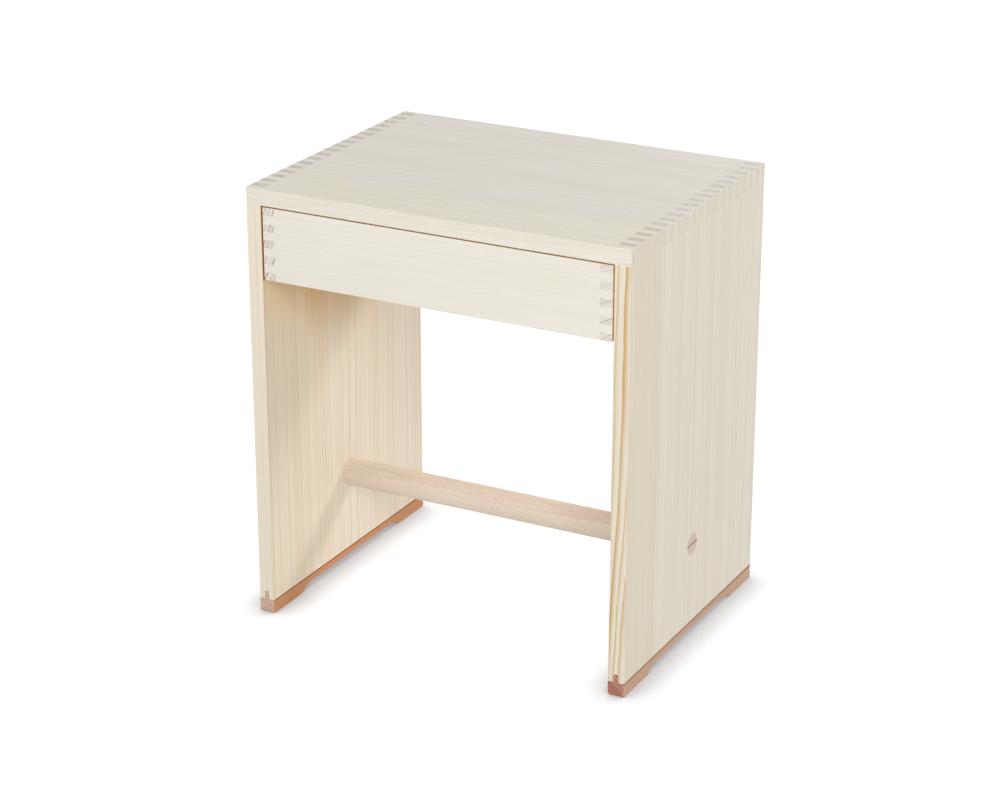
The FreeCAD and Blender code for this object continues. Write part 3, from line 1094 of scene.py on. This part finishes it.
@dataclass
class Runners(SubAssembly):
    """The beech strips that the drawer slides on, and the screws that hold them.

    Attributes:
        inner: How far the sides' inner faces lie from the stool's middle.
        reach: How far the strips stand out from these.
        screw_places: Where along Y the screws sit.
        screw_height: Their height.
        head: A screw head's diameter.
        shank: The shank's diameter.
        tip: The tip's diameter.
        tip_length: The tip's length.
        bite: How far a screw goes into the side.
        recess: How deep the cross in its head is.
        arm: The length and the width of the cross's arms.
        taper: The cross's size at its floor against its mouth.
        segments: How many flats the round is made of.
        cut: Where in the tree the right strip comes from, which the left one mirrors.
    """

    inner: float = 183.5
    reach: float = 7.5
    screw_places: tuple[float, ...] = (-103.0, 5.5, 114.0)
    screw_height: float = 396.3
    head: float = 7.0
    shank: float = 3.5
    tip: float = 0.8
    tip_length: float = 5.0
    bite: float = 12.5
    recess: float = 0.9
    arm: Pair = (4.4, 0.9)
    taper: float = 0.55
    segments: int = 32
    cut: LogCut = LogCut(Grain.ALONG_Y, (150.0, 350.0), 2.0, 1.0, along=300.0)

    def cross_cutter(self, across: Vector) -> Piece:
        """Makes one arm of the cross recess, tapered towards its floor.

        Args:
            across: The arm's length along each axis, in millimetres.

        Returns:
            The cutter.
        """
        bpy.ops.mesh.primitive_cube_add(size=1.0, scale=across * MM)
        arm = start_piece("recess_arm")
        end_face(arm, Side.RIGHT)
        bpy.ops.transform.resize(value=(1.0, self.taper, self.taper))
        bpy.ops.object.mode_set(mode="OBJECT")
        return arm

    def screw(self) -> Piece:
        """Models a countersunk screw that points along +X, its head's face at the origin.

        Returns:
            The screw.
        """
        head_depth = (self.head - self.shank) / 2
        shank_length = self.reach + self.bite - head_depth - self.tip_length
        bpy.ops.mesh.primitive_cone_add(
            vertices=self.segments, radius1=self.head / 2 * MM, radius2=self.shank / 2 * MM,
            depth=head_depth * MM, location=(head_depth / 2 * MM, 0, 0), rotation=(0, math.pi / 2, 0),
        )
        screw = start_piece("runner_screw")
        end_face(screw, Side.RIGHT)
        push_out(shank_length, Side.RIGHT)
        push_out(self.tip_length, Side.RIGHT, self.tip / self.shank)
        bpy.ops.object.mode_set(mode="OBJECT")
        for width, height in (self.arm, self.arm[::-1]):
            carve(screw, self.cross_cutter(Vector((2 * self.recess, width, height))))
        smooth(screw)
        return screw

    def build(self) -> Iterator[str]:
        """Models one screw, then dresses each strip and copies the screw to its places.

        Yields:
            Each piece's name.
        """
        pattern = self.screw()
        steel = steel_material("screw_steel", STEEL)
        out, up = self.cut.pith
        for side in Side:
            cut = replace(self.cut, pith=(side.value * out, up), along=side.value * self.cut.along)
            yield Board(f"{side.word}_drawer_runner", BEECH, cut).dress()
            for number, place in enumerate(self.screw_places, start=1):
                screw = pattern.copy()
                screw.data = pattern.data.copy()
                screw.name = screw.data.name = f"{side.word}_runner_screw_{number}"
                bpy.context.scene.collection.objects.link(screw)
                face = side.value * (self.inner - self.reach)
                screw.location = Vector((face, place, self.screw_height)) * MM
                screw.rotation_euler.z = 0.0 if side is Side.RIGHT else math.pi
                settle(screw)
                dress(screw, steel)
                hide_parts(f"{side.word}_runner_screws")
                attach(screw, CARCASS)
                yield screw.name
        bpy.data.objects.remove(pattern)


@dataclass
class Drawer(SubAssembly):
    """The finger-jointed drawer box with its plywood bottom.

    Attributes:
        boards: Its front, back, sides and bottom, with painted shade in the gaps round it.
    """

    boards: tuple[Board, ...] = (
        Board(
            "drawer_front", DRAWER_SPRUCE,
            LogCut(Grain.ALONG_X, (-84.0, 296.3), 2.2, 3.0, tilt=(0.3, 0.8), along=150.0),
            shades=(TOP_GAP, LEFT_GAP, RIGHT_END_GAP),
        ),
        Board(
            "drawer_back", SPRUCE,
            LogCut(Grain.ALONG_X, (110.0, 300.0), 2.2, 3.0, tilt=(0.3, 0.8), along=1150.0),
        ),
        Board(
            "drawer_left_side", LEFT_DRAWER_SPRUCE,
            LogCut(Grain.ALONG_Y, (-402.0, 482.3), 2.8, 1.2, tilt=(0.4, 0.5)),
            shades=(TOP_GAP, LEFT_GAP),
        ),
        Board(
            "drawer_right_side", RIGHT_DRAWER_SPRUCE,
            LogCut(Grain.ALONG_Y, (226.0, 278.3), 2.8, 1.2, tilt=(0.3, 0.5), along=400.0),
            shades=(TOP_GAP, RIGHT_GAP),
        ),
        Board(
            "drawer_bottom", PLYWOOD,
            LogCut(Grain.ALONG_X, (20.0, 126.3), 3.4, 5.0, tilt=(0.2, 0.3), along=70.0),
        ),
    )

    def build(self) -> Iterator[str]:
        """Dresses the boards.

        Yields:
            Each board's name.
        """
        for board in self.boards:
            yield board.dress()


@dataclass(frozen=True)
class Lamp:
    """A square soft lamp.

    Attributes:
        name: Its name.
        place: Where it stands.
        size: The length of its sides.
        power: Its power in watts.
        mirrored: Whether the wood's sheen shows it.
    """

    name: str
    place: Triple
    size: float
    power: float
    mirrored: bool = True

    def light(self, aim: Triple) -> None:
        """Adds the lamp, facing a point.

        Args:
            aim: The point.
        """
        bpy.ops.object.light_add(type="AREA", location=self.place, rotation=turn_to(self.place, aim))
        lamp = bpy.context.active_object
        lamp.name = self.name
        lamp.data.size, lamp.data.energy = self.size, self.power
        lamp.visible_glossy = self.mirrored


def turn_to(place: Triple, aim: Triple) -> Triple:
    """Gives the turn with which a lamp or a camera at one place faces another."""
    return tuple((Vector(aim) - Vector(place)).to_track_quat("-Z", "Y").to_euler())


@dataclass
class Studio:
    """White floor, white surround, five lamps and the camera, in metres.

    Attributes:
        camera_place: Where the camera stands.
        camera_aim: The point that it looks at.
        lens: Its focal length, in millimetres.
        sensor: Its sensor's width, in millimetres.
        lamps: The lamps.
        lamp_aim: The point that they face.
        surround: How strongly the surround lights the stool.
        floor_size: The length of the floor's sides.
        paper: How white the floor is to the stool.
        shadow: How much of the light on the floor is seen, which keeps the stool's shadow.
        glow: The floor's own light, near the stool and further out.
        glow_reach: Where that starts to change, and where it ends.
        contact_reach: How near the stool must be to darken the floor.
        contact_air: How much open air is left where that is full, and where it ends.
        contact_shade: What it does to red, green and blue.
        contact_samples: How often it is measured at each point.
        bounces: How often light goes on from face to face.
    """

    camera_place: Triple = (1.1457, -2.1814, 1.1821)
    camera_aim: Triple = (-0.0066, -0.0058, 0.2103)
    lens: float = 97.2
    sensor: float = 36.0
    lamps: tuple[Lamp, ...] = (
        Lamp("front_right_lamp", (1.25, -2.1, 1.55), 1.3, 35.0, mirrored=False),
        Lamp("front_left_lamp", (-1.1, -2.2, 1.6), 1.3, 17.0, mirrored=False),
        Lamp("back_right_lamp", (1.25, 1.75, 1.5), 0.45, 18.0),
        Lamp("left_lamp", (-1.9, 0.9, 0.75), 1.2, 11.0),
        Lamp("back_lamp", (0.2, 2.2, 1.7), 1.2, 14.0),
    )
    lamp_aim: Triple = (0.0, 0.0, 0.25)
    surround: float = 0.24
    floor_size: float = 16.0
    paper: float = 0.88
    shadow: float = 0.24
    glow: Pair = (0.86, 1.0)
    glow_reach: Pair = (0.5, 1.1)
    contact_reach: float = 0.042
    contact_air: Pair = (0.4, 0.95)
    contact_shade: Colour = (0.36, 0.355, 0.37)
    contact_samples: int = 16
    bounces: int = 12

    def build(self) -> None:
        """Sets up the floor, the lamps, the surround and the camera."""
        self.floor()
        self.surround_light()
        for lamp in self.lamps:
            lamp.light(self.lamp_aim)
        self.camera()
        settings = bpy.context.scene
        settings.view_settings.view_transform = "Standard"
        settings.cycles.max_bounces = settings.cycles.diffuse_bounces = self.bounces

    def seen(self, sheet: NodeSheet) -> Socket:
        """Tells the rays that show the background from those that light the stool."""
        path = sheet.add("LightPath").outputs
        return reduce(partial(sheet.math, "MAXIMUM"), (path[f"Is {kind} Ray"] for kind in SHOWING_RAYS))

    def floor(self) -> None:
        """Lays the white floor, which keeps the stool's contact shadow."""
        bpy.ops.mesh.primitive_plane_add(size=self.floor_size)
        floor = start_piece("floor")
        sheet = NodeSheet(bpy.data.materials.new("floor_white"))
        away = sheet.length(sheet.add("TexCoord").outputs["Object"])
        contact = sheet.span(sheet.open_air(self.contact_reach, self.contact_samples), *self.contact_air)
        glow = sheet.add("Emission", {
            "Color": sheet.blend(contact, self.contact_shade, (1.0, 1.0, 1.0)),
            "Strength": sheet.span(away, *self.glow_reach, *self.glow),
        })
        paper = sheet.add("BsdfDiffuse", {"Color": (self.paper,) * 3})
        shadow = sheet.add("BsdfDiffuse", {"Color": (self.shadow,) * 3})
        both = sheet.add("AddShader", {0: shadow.outputs[0], 1: glow.outputs[0]})
        sheet.finish(sheet.add("MixShader", {0: self.seen(sheet), 1: paper.outputs[0], 2: both.outputs[0]}))
        dress(floor, sheet.owner)
        floor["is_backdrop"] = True

    def surround_light(self) -> None:
        """Makes the white surround, at its own strength where it lights the stool."""
        world = bpy.context.scene.world = bpy.data.worlds.new("white_surround")
        sheet = NodeSheet(world)
        strength = sheet.span(self.seen(sheet), 0.0, 1.0, self.surround, 1.0)
        sheet.finish(sheet.add("Background", {"Color": (1.0, 1.0, 1.0), "Strength": strength}))

    def camera(self) -> None:
        """Sets the camera at the photograph's viewing angle."""
        turn = turn_to(self.camera_place, self.camera_aim)
        bpy.ops.object.camera_add(location=self.camera_place, rotation=turn)
        camera = bpy.context.active_object
        camera.data.lens, camera.data.sensor_width = self.lens, self.sensor
        bpy.context.scene.camera = camera


def write_sizes() -> None:
    """Works out the CAD model's box and the dressed model's box, without keeping them."""
    boxes = {"cad": CAD_BOX, "visual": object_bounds()}
    {name: [list(corner) for corner in box] for name, box in boxes.items()}


def main() -> None:
    """Builds the stool's looks and the studio, reporting each piece."""
    logging.basicConfig(level=logging.INFO, format="%(name)s: %(message)s")
    Studio().build()
    left_staves = (
        Stave(73.5, WARM_FRONT_SPRUCE, (-70.75, -201.0), -0.5),
        Stave(52.5, WARM_SPRUCE, (-321.75, 10.0), 0.2),
        Stave(112.0, WARM_SPRUCE, (-81.75, -60.0), 0.4),
        Stave(62.0, WARM_SPRUCE, (-311.75, 60.0), -0.3),
    )
    right_staves = (
        Stave(62.0, OCHRE_SPRUCE, (244.95, -280.0), -0.8, 4.0, 0.8),
        Stave(48.0, PANEL_SPRUCE, (226.75, -260.0), 0.3),
        Stave(95.0, PANEL_SPRUCE, (131.75, -130.0), -0.4),
        Stave(95.0, PANEL_SPRUCE, (261.75, 220.0), 0.5),
    )
    left = SidePanel(Side.LEFT, left_staves, 2.0, PAINTED_GAP_SHADE)
    right = SidePanel(Side.RIGHT, right_staves, 2.3, PAINTED_LIT_GAP_SHADE)
    for part in (Seat(), left, right, FootRails(), StretcherRod(), Runners(), Drawer()):
        for piece in part.build():
            LOG.info("%s: %s", type(part).__name__, piece)
    write_sizes()


if __name__ == "__main__":
    main()
